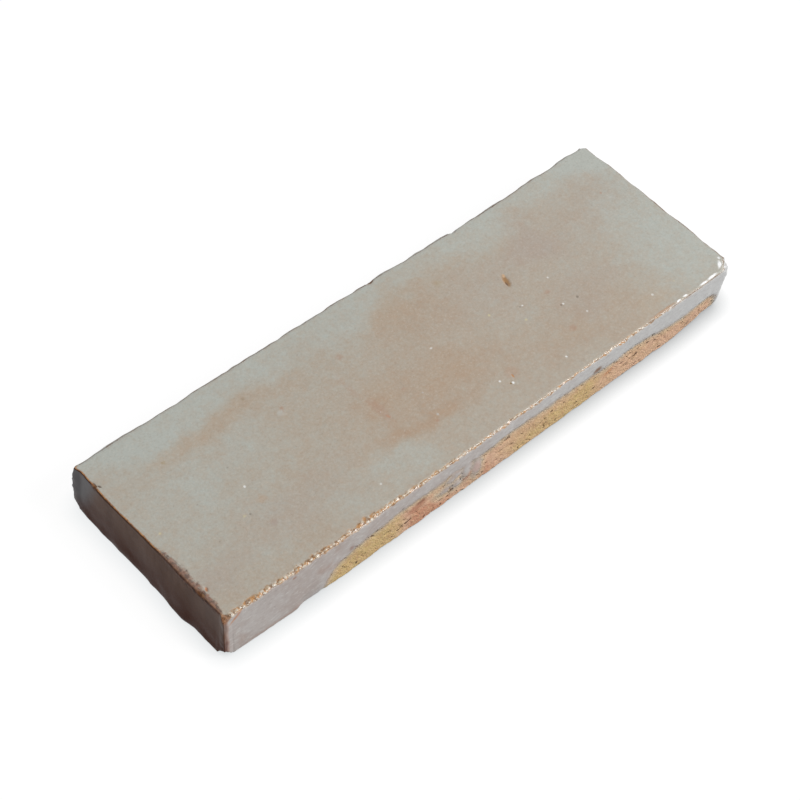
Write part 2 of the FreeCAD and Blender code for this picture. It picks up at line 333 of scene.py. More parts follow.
blank = bmesh.new()
bmesh.ops.create_cube(blank, size=2.0)
for axis, rows in enumerate((ROWS_ALONG, ROWS_ACROSS, ROWS_UP)):
    bmesh.ops.subdivide_edges(blank, edges=rows_along(blank, axis), cuts=rows - 1, use_grid_fill=True)
shown = rows_along(blank, 0, lambda middle: middle.z > -0.999 or abs(middle.y) > 0.999)
bmesh.ops.subdivide_edges(blank, edges=shown, cuts=1, use_grid_fill=True)
beaded = rows_along(
    blank, 0,
    lambda middle: middle.y < -0.93 and middle.z > 0.999 or middle.y < -0.999 and middle.z > 0.60,
)
bmesh.ops.subdivide_edges(blank, edges=beaded, cuts=1, use_grid_fill=True)
print("blank:", len(blank.verts), "points,", len(blank.faces), "faces")

# %% [markdown]
# The rows are crowded by a sine, which moves them towards the edges. The same sum tells where each
# place of the even blank will come to lie, so the grid can be cut finer just round the marks. The
# faces at the rim of such a spot get more than four corners, and are split while they are flat.

# %% Crowd the rows and cut finer round the marks
half = (box_high - box_low) / 2
middle = (box_high + box_low) / 2
MARK_MARGIN = 0.4
PLAIN_MARK = 0.45
LARGE_MARK = 3.0


def crowded(unit):
    """Where a place of the even blank, -1 to 1 along each axis, comes to lie, in millimetres."""
    crowding = np.array(CROWDING)
    return ((1 - crowding) * unit + crowding * np.sin(unit * math.pi / 2)) * half + middle


top_edges = [edge for edge in blank.edges if all(vertex.co.z > 0.999 for vertex in edge.verts)]
lying = crowded(np.array([(edge.verts[0].co + edge.verts[1].co)[:] for edge in top_edges]) / 2)
marked = np.zeros(len(top_edges), bool)
for spot, size, _, _, strength, _ in MARKS:
    if strength >= PLAIN_MARK and max(size) < LARGE_MARK:
        marked |= (np.abs(lying[:, :2] - spot) < np.array(size) + MARK_MARGIN).all(axis=1)
bmesh.ops.subdivide_edges(
    blank, edges=[edge for edge, chosen in zip(top_edges, marked) if chosen], cuts=2, use_grid_fill=True
)
bmesh.ops.triangulate(blank, faces=[face for face in blank.faces if len(face.verts) > 4])
unit = np.array([vertex.co[:] for vertex in blank.verts])
block = crowded(unit)
print("blank:", len(blank.verts), "points,", len(blank.faces), "faces")

# %% [markdown]
# ## Where the glaze stopped
# Each side has a line where the run of glaze ended, drawn here as a few points of (place along the
# side, height above the foot) that a smooth curve joins. A point below zero means that the glaze
# went right down to the foot. The drips are ovals that hang below the line of the side in view. The
# value worked out is the distance inside the glaze, so the coat's edge can have a shape and the same
# number can guide the colours.

# %% Draw the glaze lines
NEAR_LONG_LINE = (
    (-80, -4), (-57, -4), (-54.8, -2.9), (-51.3, -1.4), (-49.6, 0.6), (-48.4, 3.2), (-46.0, 5.8),
    (-43.0, 7.0), (-37.8, 8.3), (-31.8, 8.8), (-28.3, 9.3), (-20.8, 9.1), (-16.1, 8.8), (-13.4, 9.5),
    (-11, 9.2), (-8.5, 9.0), (-4.6, 9.0), (0.2, 9.3), (3.4, 9.8), (11.5, 9.6), (19.6, 9.3), (29.7, 9.1),
    (35.8, 8.3), (40.8, 8.8), (45.8, 8.7), (52.9, 7.5), (60.1, 7.0), (67.0, 6.9), (70.6, 6.0),
    (72.2, 4.0), (72.8, 1.0), (73.6, -3), (80, -4),
)
FAR_SHORT_LINE = (
    (-30, -4), (-25, -3), (-22.5, 4), (-12.5, 8.5), (-3.8, 6.3), (2.5, 7.3), (7.5, 4.1), (12.5, 7.7),
    (25, 8.7), (30, 8.7),
)
FAR_LONG_LINE = (
    (-80, -4), (-68, -4), (-65, 0.5), (-61.5, 4.9), (-52.5, 8.1), (-39, 7.1), (-33.8, 3.5),
    (-28.5, 6.7), (-15, 8.5), (-3.8, 7.3), (11.3, 8.9), (30, 7.9), (37.5, 4.7), (46.5, 7.1), (60, 9.3),
    (75, 8.7), (80, 8.7),
)
DRIPS = (
    (-8.5, 8.0, 1.5, 2.6), (-12.9, 7.5, 1.0, 0.8), (-11.4, 8.2, 1.2, 1.0), (-14.5, 5.2, 0.9, 0.5),
    (-11.2, 4.7, 1.0, 0.8), (-5.5, 6.2, 1.1, 2.3),
)


def smooth_line(points, pieces=6):
    """A curve through the points, as a finer row of points."""
    points = np.array([points[0], *points, points[-1]], float)
    line = []
    for before, start, end, after in zip(points, points[1:], points[2:], points[3:]):
        for share in np.arange(pieces) / pieces:
            line.append(
                0.5 * (2 * start + (end - before) * share
                       + (2 * before - 5 * start + 4 * end - after) * share**2
                       + (3 * start - before - 3 * end + after) * share**3)
            )
    return np.array([*line, points[-1]])


def inside_line(along, height, points):
    """How far each place lies above a glaze line, or below it as a negative number, in millimetres."""
    line = smooth_line(points)
    nearest = np.full(len(along), 1e9)
    for start, end in zip(line, line[1:]):
        run = end - start
        share = ((along - start[0]) * run[0] + (height - start[1]) * run[1]) / (run @ run)
        share = np.clip(share, 0, 1)
        gap = np.hypot(along - start[0] - share * run[0], height - start[1] - share * run[1])
        nearest = np.minimum(nearest, gap)
    return np.where(height > np.interp(along, line[:, 0], line[:, 1]), nearest, -nearest)


print("points on the near long side's line:", len(smooth_line(NEAR_LONG_LINE)))

# %% [markdown]
# ## The tile's own sides and face
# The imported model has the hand-cut sides, which lean and wander, and the face's shallow hollows.
# Rays shot at it from inside tell how far out each side is at three heights, and rays from above
# how high the face is. The blank's rows then follow those, so the tile keeps the model's size.

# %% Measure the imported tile
BAND = 3.0
ABOVE = 30.0
COAT = 0.35
RAY_HEIGHTS = (1.6, 5.0, 11.5)
packed_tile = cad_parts["zellige_tile"]
bpy.context.view_layer.update()
measured = {}


def measure(start, way):
    """Distance in millimetres from a start, along a way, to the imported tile's surface."""
    key = tuple(np.round((*start, *way), 4))
    if key not in measured:
        hit, met, _, _ = packed_tile.ray_cast(Vector(start) * MM, Vector(way))
        if not hit:
            raise ValueError(f"the ray from {start} met nothing")
        measured[key] = (met / MM - Vector(start)).length
    return measured[key]


inner_half = half[:2] - BAND
inner = np.clip(block[:, :2] - middle[:2], -inner_half, inner_half) + middle[:2]
outward = block[:, :2] - inner
reach = np.abs(outward).max(axis=1)
in_band = reach > 1e-6
heading = outward / np.where(in_band, np.hypot(*outward.T), 1.0)[:, None]
long_share = heading[:, 1] ** 2
short_share = heading[:, 0] ** 2

crown = np.array([ABOVE - measure((*start, ABOVE), (0.0, 0.0, -1.0)) for start in inner])
sides = np.zeros((len(block), len(RAY_HEIGHTS)))
for number in np.flatnonzero(in_band):
    for column, level in enumerate(RAY_HEIGHTS):
        sides[number, column] = measure((*inner[number], level), (*heading[number], 0.0))
print("rays:", len(measured), "face height, mm:", crown.min().round(2), "to", crown.max().round(2))

# %% [markdown]
# ## The clay under the glaze
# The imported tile's coat is 0.35 mm thick, and the rays met either the coat or bare clay. The clay
# of each side is straight from arris to foot, so of the ways in which the three heights could be
# glazed, the right one is that whose three clay points lie in a line. The highest is always glazed.

# %% Find the straight line of the clay
LOW, MID, HIGH = RAY_HEIGHTS
CHIPPED = 0.15
high_clay = sides[:, 2] - COAT
mid_share = (HIGH - MID) / (HIGH - LOW)
lean = (high_clay - (sides[:, 1] - COAT)) / (HIGH - MID)
best = np.full(len(block), CHIPPED)
for low_coat, mid_coat in ((0.0, 0.0), (0.0, COAT), (COAT, COAT)):
    low_clay, mid_clay = sides[:, 0] - low_coat, sides[:, 1] - mid_coat
    off_line = np.abs(mid_clay - (low_clay * mid_share + high_clay * (1 - mid_share)))
    better = off_line < best
    lean = np.where(better, (high_clay - low_clay) / (HIGH - LOW), lean)
    best = np.where(better, off_line, best)
print("places with a chip or a step:", int((best[in_band] >= CHIPPED).sum()))

# %% [markdown]
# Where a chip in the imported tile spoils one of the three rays, no line fits. There the side's lean,
# and how far it lies from a plain rounded corner, are averaged from the sound places round it. The
# back corner of the short end in view is bridged as a whole, because its large flake isn't wanted
# here. That end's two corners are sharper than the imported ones, so they are drawn out.

# %% Bridge the chips
CORNER_ROUND = 1.4
BACK_CORNER_PULL = 0.45
FRONT_CORNER_PULL = 0.55
ahead = np.abs(heading)
arc_centre = BAND - CORNER_ROUND
arc_middle = arc_centre * ahead.sum(axis=1)
on_arc = arc_middle + np.sqrt(np.maximum(arc_middle**2 - 2 * arc_centre**2 + CORNER_ROUND**2, 0))
round_here = in_band & ((on_arc[:, None] * ahead).min(axis=1) > arc_centre)
plain = np.where(round_here, on_arc, BAND / np.where(in_band, ahead.max(axis=1), 1.0))
off_plain = high_clay - plain
to_sharp = np.where(round_here, BAND / np.maximum(ahead.max(axis=1), 0.5) - plain, 0.0)
pull = np.where(heading[:, 1] > 0, BACK_CORNER_PULL, FRONT_CORNER_PULL)
drawn_out = np.where(heading[:, 0] < 0, pull * to_sharp, 0.0)
flaked = (heading[:, 0] < -0.25) & (heading[:, 1] > 0.25)
whole = in_band & (best < CHIPPED) & ~flaked
rim = inner + heading * BAND
sound = np.flatnonzero(whole)[::7]
for number in np.flatnonzero(in_band & ~whole):
    closeness = 1 / (0.5 + ((rim[sound] - rim[number]) ** 2).sum(axis=1)) ** 2
    high_clay[number] = plain[number] + (closeness @ off_plain[sound]) / closeness.sum()
    lean[number] = (closeness @ lean[sound]) / closeness.sum()
high_clay += drawn_out * reach / BAND
print("the sides lean by up to", round(float(np.abs(lean[in_band]).max()), 3), "mm per mm")

# %% [markdown]
# ## Glaze and clay on the sides
# The side's height lines are turned into the distance inside the glaze. At a corner two sides meet,
# and their distances are mixed by how much the corner faces each.

# %% Work out the glaze's reach
SPARE = 20.0


def grain(points, size, shift=0.0):
    """Soft random relief from -1 to 1, whose bumps are about as wide as the size given."""
    return np.array([noise.noise(Vector(spot)) for spot in points / size + shift])


def smooth_step(value, low, high):
    """0 below low, 1 above high, and a soft ramp between."""
    share = np.clip((value - low) / (high - low), 0, 1)
    return share * share * (3 - 2 * share)


def patch(points, spot, size, turn=0.0):
    """A soft patch: 1 at its middle, 0 at its edge and below 0 outside."""
    turn = math.radians(turn)
    right, up = (points - np.array(spot)).T
    along = right * math.cos(turn) + up * math.sin(turn)
    across = up * math.cos(turn) - right * math.sin(turn)
    return 1 - np.hypot(along / size[0], across / size[1])


height = (block[:, 2] - box_low[2]) / (box_high[2] - box_low[2]) * crown
on_top = unit[:, 2] > 0.9999
on_bottom = unit[:, 2] < -0.9999
near_long = inside_line(block[:, 0], height, NEAR_LONG_LINE)
for along, level, wide, tall in DRIPS:
    far = np.hypot((block[:, 0] - along) / wide, (height - level) / tall)
    near_long = np.maximum(near_long, (1 - far) * min(wide, tall))
far_long = inside_line(block[:, 0], height, FAR_LONG_LINE)
far_short = inside_line(block[:, 1], height, FAR_SHORT_LINE)
on_long = np.where(heading[:, 1] < 0, near_long, far_long)
on_short = np.where(heading[:, 0] < 0, SPARE, far_short)
glaze = on_long * long_share + on_short * short_share
glaze = np.where(on_top, SPARE, np.where(on_bottom, -SPARE, glaze))
glaze += 0.35 * grain(block, 2.2, 5.0) + 0.22 * grain(block, 0.9, 9.0)
print("share of the points that is glazed:", round(float((glaze > 0).mean()), 2))

# %% [markdown]
# ## Rounding the edges
# A glazed arris is soft because the glaze thins over it and pools beside it. Bevelling the block
# would round it too, but then the rows of the grid would no longer follow the edge. So each point
# near an edge is drawn in onto a quarter circle, which is what a bevel does.

# %% Round the arris and the foot
ARRIS_ROUND = 0.75
CRISP_ROUND = 0.5
FOOT_ROUND = 0.6

near_short_share = np.where(heading[:, 0] < 0, short_share, 0.0)
near_long_share = np.where(heading[:, 1] < 0, long_share, 0.0)
arris_round = ARRIS_ROUND + (CRISP_ROUND - ARRIS_ROUND) * near_short_share
inset = np.where(in_band, (high_clay + (height - HIGH) * lean + COAT) * (1 - reach / BAND), SPARE)
inset = np.where(on_top | on_bottom, inset, 0.0)


def rounded(inset, depth, radius):
    """Draws points near an edge onto a quarter circle: their inset, depth and turn outwards."""
    sideways, upward = np.maximum(radius - inset, 0), np.maximum(radius - depth, 0)
    both = (sideways > 0) & (upward > 0)
    away = np.where(both, np.hypot(sideways, upward), 1.0)
    scale = np.where(both, np.maximum(sideways, upward) / away, 1.0)
    facing = np.where(both, np.arctan2(sideways, upward), (inset < depth) * math.pi / 2)
    return (
        np.where(both, radius - sideways * scale, inset),
        np.where(both, radius - upward * scale, depth),
        facing,
    )


upper = height > crown / 2
top_inset, top_depth, top_facing = rounded(inset, crown - height, arris_round)
low_inset, low_depth, low_facing = rounded(inset, height, FOOT_ROUND)
shape_inset = np.where(upper, top_inset, low_inset)
shape_height = np.where(upper, crown - top_depth, low_depth)
facing = np.where(upper, top_facing, low_facing)
upward = np.cos(facing) * np.where(upper, 1.0, -1.0)
normal = np.column_stack([heading * np.sin(facing)[:, None], upward])
print("points on rounded edges:", int(((facing > 0) & (facing < 1.57)).sum()))

# %% [markdown]
# ## Beads along the near arris
# Along the near long arris the glaze drew up into a chain of small beads, like melted sugar, with
# brown clay showing between them. Cell noise gives such beads: it is 0 where two cells meet and
# grows towards their middles. The chain is widest at the left and thins out to the right.

# %% Raise the beads
BEAD = 0.95
to_arris = np.where(on_top, inset, height - crown)
bead_width = 1.1 - 0.75 * smooth_step(block[:, 0], -45, 0)
bead_edge = 0.5 * grain(block, 3.0, 71.0) + 0.5 * grain(block, 1.1, 73.0)
bead_place = to_arris + bead_edge
bead_band = smooth_step(bead_place, -0.6, -0.2)
bead_band *= 1 - smooth_step(bead_place, bead_width - 0.3, bead_width + 0.2)
bead_band *= near_long_share * (1 - smooth_step(block[:, 0], 50, 57) * 0.8)
beads = np.ones(len(block))
for number in np.flatnonzero(bead_band > 0.01):
    gaps = noise.voronoi(Vector(block[number] / BEAD + 3.7))[0]
    beads[number] = min(1.0, (gaps[1] - gaps[0]) * 2.2)
bead_relief = bead_band * (0.24 * np.sqrt(beads) - 0.14)
print("points among the beads:", int((bead_band > 0.01).sum()))

# %% [markdown]
# ## Relief
# Clay is grainy and pitted, and glaze is smooth with slow swells. The relief is soft random noise
# at several sizes, weighted by where the point lies, and added along the surface's own direction.
# The coat's edge is spread out, because the photo shows hardly any step there, and the far edges
# are moved a little in and out, so that their outline isn't straight.

# %% Work out the relief
coat = COAT * smooth_step(glaze, -1.6, 1.2)
lip = 0.02 * np.exp(-(((glaze - 0.9) / 0.6) ** 2))
glazed = smooth_step(glaze, -0.1, 0.3)
on_side = in_band & ~on_top & ~on_bottom

swell = 0.07 * grain(block, 17, 2.0) + 0.025 * grain(block, 5, 4.0) + 0.01 * grain(block, 1.6, 6.0)
side_swell = 0.16 * grain(block * (1, 1, 0.5), 7, 7.0) * on_side
clay_grain = 0.10 * grain(block, 1.3, 11.0) + 0.05 * grain(block, 0.6, 13.0)
clay_grain += 0.12 * grain(block, 4.5, 17.0)
pit_place = grain(block * (1.0, 1.0, 1.5), 0.9, 21.0) + 0.35 * grain(block, 5.0, 23.0)
pits = smooth_step(pit_place, 0.44, 0.62)
corner = 4 * long_share * short_share
at_left_end = near_short_share * on_side
wavy_foot = 0.45 * grain(block, 9.0, 41.0) + 0.22 * grain(block, 3.5, 42.0)
wavy_foot *= np.exp(-((height / 5.0) ** 2)) * at_left_end
ragged_corner = 0.30 * grain(block, 2.6, 44.0) + 0.12 * grain(block, 1.0, 45.0)
ragged_corner *= corner * on_side * (1 - smooth_step(height, 11.0, 12.8))
swollen = np.where((heading[:, 0] < 0) & (heading[:, 1] > 0), corner * on_side, 0.0)
swollen *= smooth_step(height, 1.5, 8.0) * (1 - smooth_step(height, 10.5, 13.2))
set_back = 0.5 * smooth_step(block[:, 0], -57, -54.5) * (1 - smooth_step(block[:, 0], -50, -48))
set_back += 0.4 * smooth_step(block[:, 0], 57, 63)
set_back *= -near_long_share * np.exp(-((height / 2.4) ** 2))
uneven_far = 0.35 * grain(block, 5.0, 48.0) + 0.16 * grain(block, 1.8, 49.0)
uneven_far *= smooth_step(to_arris, -4.0, -0.5) * (heading.sum(axis=1) > 0.5)
ragged_foot = 0.12 * grain(block, 5.0, 47.0) + 0.08 * grain(block, 1.3, 43.0) - 0.06
ragged_foot *= np.exp(-((height / 0.9) ** 2)) * in_band
print("points in pits:", int((pits > 0.5).sum()))

# %% [markdown]
# The parts of the relief are added up, each mark in the face presses in or swells, and then every
# point goes to its place: out to its side, up to its height, and along its normal by the relief.

# %% Put the points in their places
relief = glazed * (swell + side_swell) + (1 - glazed) * (clay_grain - 0.40 * pits)
relief += bead_relief + wavy_foot + ragged_corner + ragged_foot + 0.5 * swollen + set_back
mark_hue = np.zeros((len(block), 4))
mark_closeness = np.full(len(block), -2.0)
for spot, size, turn, hue, strength, depth in MARKS:
    closeness = patch(block[:, :2], spot, size, turn)
    relief -= on_top * depth * smooth_step(closeness, 0.0, 0.7)
    closer = closeness > mark_closeness
    mark_hue[closer] = (*hue[:3], strength)
    mark_closeness = np.maximum(mark_closeness, closeness)
underside = 0.12 * (1 + grain(block, 11, 51.0)) + 0.5 * (1 - glazed) * np.abs(clay_grain) + 0.3 * pits
relief = np.where(on_bottom & ~in_band, -underside, relief)

place = block.copy()
out = high_clay + (shape_height - HIGH) * lean + coat + lip - shape_inset + uneven_far * reach / BAND
place[:, :2] = np.where(in_band[:, None], inner + heading * out[:, None], block[:, :2])
place[:, 2] = shape_height
place += normal * relief[:, None]
place[:, 2] = np.maximum(place[:, 2], 0.0)
print("relief, mm:", relief.min().round(2), "to", relief.max().round(2))

# %% [markdown]
# ## Chips
# A knock at the arris takes out a shell-shaped flake. Each chip is a ball pressed into the edge:
# the points inside the ball go back to its far side, and a little noise makes it rough. Chips that
# were there before the firing are glazed over, and later ones are bare, so each has its bareness.

# %% Knock out the chips
CHIPS = (
    # middle of the chip, way out of the tile, radius, depth, bareness
    ((-43.5, -25.5, 13.8), (0, -1, 1), 2.6, 0.45, 0.4),
    ((21.8, -25.2, 13.8), (0, -1, 1), 3.0, 0.40, 0.5),
    ((75.5, -15.2, 13.7), (1, 0, 1), 2.4, 0.35, 0.3), ((76.0, 8.6, 13.7), (1, 0, 1), 2.0, 0.35, 0.6),
    ((32.4, 24.7, 13.7), (0, 1, 1), 2.6, 0.65, 0.6), ((7.2, 25.2, 13.7), (0, 1, 1), 1.7, 0.75, 1.0),
    ((-56.0, 25.4, 13.7), (0, 1, 1), 1.6, 0.3, 0.5), ((-12.0, 25.3, 13.7), (0, 1, 1), 1.5, 0.25, 0.5),
    ((-75.3, 18.6, 13.7), (-1, 0, 1), 1.4, 0.55, 0.8),
    ((-75.0, -17.0, 13.7), (-1, 0, 1), 2.2, 0.55, 0.9),
    ((75.0, -24.7, 13.9), (1, -1, 1), 6.0, 2.1, 0.0),
    ((75.6, -22.4, 12.2), (1, -0.4, 0.2), 1.0, 0.45, 1.0),
    ((-74.9, -24.9, 13.8), (-1, -1, 1), 2.6, 0.8, 0.8),
    ((-75.4, -24.9, 0.0), (-1, -1, -0.6), 3.6, 1.3, 0.3),
    ((75.0, -24.7, 0.0), (1, -1, -1), 6.5, 2.4, 0.2), ((-75.6, 25.8, 10.6), (-1, 1, 0), 0.9, 0.3, 0.5),
    ((-75.6, 25.9, 8.2), (-1, 1, 0), 0.7, 0.25, 0.5), ((-75.6, 25.9, 0.0), (-1, 1, -1), 4.2, 1.7, 0.0),
    ((75.1, 24.9, 13.8), (1, 1, 1), 2.4, 0.5, 0.2),
)
bare = np.zeros(len(place))
for spot, way, radius, depth, bareness in CHIPS:
    way = np.array(way) / np.linalg.norm(way)
    ball = np.array(spot) + way * (radius - depth)
    near = np.flatnonzero(np.linalg.norm(place - ball, axis=1) < radius * 1.3)
    rough = radius * (1 + 0.08 * grain(place[near], 1.1, 61.0) + 0.04 * grain(place[near], 0.5, 63.0))
    offset = place[near] - ball
    under = rough**2 - (offset**2).sum(axis=1)
    along = offset @ way
    push = np.where(under > 0, along + np.sqrt(np.maximum(along**2 + under, 0)), 0.0)
    place[near] -= way * push[:, None]
    bare[near] = np.maximum(bare[near], smooth_step(push, 0.04, 0.22) * bareness)
print("points on chips:", int((bare > 0).sum()))

# %% [markdown]
# ## Clouds of colour
# The milky glaze is thin over the middle, where the pink clay shines through, and thicker, so
# greener and paler, at the far edge, the left third and the right end. The bare clay fired pink in
# some places and ochre in others. Nodes could draw such patches, but so many of them overflow the
# shader, so they are worked out once for each point and kept on the tile as attributes.

# %% List the clouds
GREENER = (
    ((-68.2, 3), (34, 23), 0.6), ((-50.2, 5), (20, 12), 0.35), ((73.8, -10), (30, 28), 1.0),
    ((75.8, 18), (20, 20), 0.8), ((-26.2, -20), (20, 5.5), 0.55), ((-61.2, 24), (28, 10), 0.35),
    ((-57.2, -19), (7, 6), 0.3),
)
PINKER = (
    ((-5.2, -6), (30, 13), 0.65), ((-12.2, -14.3), (21, 3.6), 0.9), ((7.8, 10), (23, 12), 0.55),
    ((8.8, -8), (13, 9), 0.3), ((32.8, -13), (33, 13), 0.35), ((29.8, -21), (33, 7), 0.3),
    ((-46.2, 14.5), (25, 5), 0.35), ((42.8, 11), (14, 11), 0.3), ((-16.2, -4), (4, 8), 0.4),
)
WARMER = (
    ((4.8, 14), (12, 7), 0.5), ((-13.2, -5), (6, 10), 0.6), ((2.8, -6), (14, 8), 0.5),
    ((33.8, -15.5), (10, 5), 0.5), ((-46.2, 15), (25, 5.5), 0.5), ((52.8, -23), (11, 3.2), 0.9),
    ((13.8, -15), (4, 5), 0.6), ((-10.2, -14.5), (18, 3), 0.4),
)
MAUVER = (
    ((42.8, 11), (11, 9), 0.6), ((51.8, 10), (32, 14), 0.3), ((-48.2, -14), (23, 10), 0.4),
    ((-68.2, -18), (10, 9), 0.6), ((44.8, -8), (14, 10), 0.35), ((27.8, 5), (23, 11), 0.25),
)
OCHRE = (
    ((-40.2, 3), (15, 15), 1.1), ((22.8, 4), (19, 12), 1.1), ((-20.2, 2.5), (12, 6.5), -1.3),
    ((-3.2, 2), (9, 4.5), -0.9),
)
PITTED = (
    ((-26.6, 2.6), (4.6, 3.2), 1.2), ((-1.8, 7.2), (3.2, 1.9), 1.0), ((4.9, 7.9), (3.0, 2.0), 1.2),
    ((23.8, 3.6), (2.2, 1.6), 1.1), ((26.0, 1.2), (2.8, 1.5), 0.9), ((32.4, 2.8), (2.2, 1.8), 1.2),
    ((25.2, 8.2), (5.5, 1.5), 0.9), ((35.2, 4.2), (1.8, 1.0), 0.8), ((40.6, 6.2), (2.4, 1.3), 0.9),
    ((44.5, 6.2), (1.3, 0.9), 1.1), ((40.3, 4.2), (1.8, 1.1), 0.8), ((13.8, 1.5), (22, 2.4), 0.45),
    ((-14.2, 3), (7, 3), 0.7), ((-40.2, 1), (3, 2), 0.8), ((13.0, 7.4), (8, 2.0), 0.5),
)
SMUDGED = (
    ((-48.8, 10.4), (4, 2.2), 0.8), ((-43.2, 9.0), (4, 2), 0.7), ((-45.2, 11.2), (2.2, 1.0), 0.8),
    ((-60.2, 0.8), (10, 2.6), 1.0), ((-68.0, 0.2), (8, 1.6), 0.6), ((-72.8, 5.0), (1.6, 4), 0.5),
)
CLAY_MARKS = (
    ((-72.6, 12.4), (3.2, 0.6), 35, paint(176, 116, 76), 0.8),
    ((-57.2, 12.2), (0.8, 0.5), 0, paint(140, 84, 52), 0.7),
    # These two dark marks at about 41 mm left of the middle, at the glaze's edge, are painted shade
    # under its lip.
    ((-41.8, 8.8), (0.9, 1.2), 0, paint(134, 100, 88), 0.7),
    ((-40.4, 8.2), (0.4, 1.6), 40, paint(96, 64, 52), 0.85),
    ((-47.2, 3.9), (0.8, 0.4), 40, paint(110, 80, 40), 0.7),
    ((-44.2, 6.6), (0.8, 0.4), 20, paint(104, 76, 48), 0.7),
    ((-62.5, 6.8), (0.3, 0.6), 20, paint(110, 92, 86), 0.7),
    ((-21.8, 7.0), (2.4, 1.1), 10, paint(134, 78, 60), 0.75),
    ((31.4, 9.9), (1.8, 1.3), 0, paint(104, 62, 6), 1.0),
    ((-40.2, 2.0), (0.6, 0.6), 0, paint(60, 42, 28), 0.9),
    ((35.8, 5.5), (2.4, 1.0), 20, paint(196, 124, 72), 0.5),
    ((70.2, 6.2), (0.8, 0.8), 0, paint(120, 84, 60), 0.8),
    ((-23.0, 6.2), (4.6, 1.4), 8, paint(176, 116, 92), 0.6),
    ((-5.4, 6.0), (1.5, 2.6), 0, paint(182, 148, 136), 0.7),
    ((-12.8, 3.9), (0.9, 0.6), 0, paint(92, 58, 40), 0.85),
    ((-9.3, 4.5), (0.7, 0.6), 0, paint(130, 78, 58), 0.8),
    ((-13.9, 9.1), (1.5, 0.4), 30, paint(150, 112, 56), 0.8),
    ((-8.0, 4.6), (2.6, 1.0), 50, paint(186, 132, 108), 0.5),
)
print("clouds on the face:", len(GREENER + PINKER + WARMER + MAUVER))

# %% [markdown]
# A cloud is soft at its edge and torn by noise. The marks in the bare clay go into the same
# attributes as those of the face.

# %% Lay the clouds


def shaken(points, size, amount):
    """The points moved a little by noise, so that what is laid on them has a torn edge."""
    moves = [grain(points, size, shift) for shift in (81.0, 83.0, 87.0)]
    return points + amount * np.column_stack(moves)


def clouds(points, patches):
    """The sum of weighted patches, written as rows of place, size and weight."""
    return sum(
        weight * smooth_step(patch(points, spot, size), 0.0, 0.8) for spot, size, weight in patches
    )


torn = shaken(block, 15.0, 7.0) + shaken(block, 4.0, 2.5) - block
face_points, side_points = torn[:, :2], torn[:, [0, 2]]
on_near_long = near_long_share * on_side
tone = clouds(face_points, GREENER) - clouds(face_points, PINKER)
tone += 0.9 * smooth_step(face_points[:, 1], 14.0, 22.0)
warmth = clouds(face_points, WARMER)
mauve = clouds(face_points, MAUVER)
ochre = clouds(side_points, OCHRE) * on_near_long + 0.3 * grain(block, 7, 93.0)
ochre += 0.5 * grain(block, 19, 91.0) * (1 - on_near_long)
pitted = clouds(0.4 * side_points + 0.6 * block[:, [0, 2]], PITTED) * on_near_long
pitted += (1 - on_near_long) * (0.4 + 0.4 * grain(block, 8, 95.0))
smudged = clouds(side_points, SMUDGED) * on_near_long
for spot, size, turn, hue, strength in CLAY_MARKS:
    closeness = np.where(on_near_long > 0.5, patch(block[:, [0, 2]], spot, size, turn), -2.0)
    closer = closeness > mark_closeness
    mark_hue[closer] = (*hue[:3], strength)
    mark_closeness = np.maximum(mark_closeness, closeness)
smear_width = 0.1 + 1.3 * patch(block[:, :2], (-75.0, -13.5), (99.0, 16.0)).clip(0, 1) ** 0.6
smear_width += 0.7 * grain(block, 2.0, 97.0) + 0.5 * grain(block, 0.7, 98.0)
smear = smooth_step(smear_width - np.abs(to_arris), -1.0, 1.0)
smear *= smooth_step(-block[:, 1], 0, 7) * near_short_share
arris_line = to_arris - np.where(heading.sum(axis=1) > 0, 0.35, 0.0) * (near_long_share < 0.5)
brown_end = np.where(on_side | on_top, -74.9 - place[:, 0] + 0.2 * grain(block, 1.8, 99.0), -SPARE)
print("tone of the face:", tone[on_top].min().round(2), "to", tone[on_top].max().round(2))

# %% [markdown]
# ## The finished body
# The points go back to the blank, the numbers that the colours need are kept on them as
# attributes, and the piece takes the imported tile's place.

# %% Make the tile
for vertex, spot in zip(blank.verts, place * MM):
    vertex.co = spot
for face in blank.faces:
    face.smooth = True
mesh = bpy.data.meshes.new("glazed_tile")
blank.to_mesh(mesh)
blank.free()

KEPT = {
    "glaze": glaze, "arris": to_arris, "arris_line": arris_line, "bead_band": bead_band, "beads": beads,
    "pits": pits, "bare": bare, "short_end": near_short_share, "brown_end": brown_end, "smear": smear,
    "tone": tone, "warmth": warmth, "mauve": mauve, "ochre": ochre, "pitted": pitted, "smudged": smudged,
    "mark": mark_closeness,
}
for name, values in KEPT.items():
    mesh.attributes.new(name, "FLOAT", "POINT").data.foreach_set("value", values.astype(np.float32))
hues = mesh.attributes.new("mark_hue", "FLOAT_COLOR", "POINT")
hues.data.foreach_set("color", mark_hue.astype(np.float32).ravel())
tile = bpy.data.objects.new("glazed_tile", mesh)
bpy.context.scene.collection.objects.link(tile)
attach(tile, "root")
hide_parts("zellige_tile")
triangles = sum(len(face.vertices) - 2 for face in mesh.polygons)
print("tile:", len(mesh.vertices), "points,", triangles, "triangles")

# %% [markdown]
# ## The finish
# One finish covers the tile, because glaze and clay are fused. The kept numbers are its masks, and
# noise in the object's own coordinates adds what is finer than the grid.

# %% Helpers for the finish
finish = bpy.data.materials.new("milky_glaze_on_terracotta")
finish.use_nodes = True
tree = finish.node_tree
tree.nodes.clear()
here = make(tree, "ShaderNodeTexCoord").outputs["Object"]


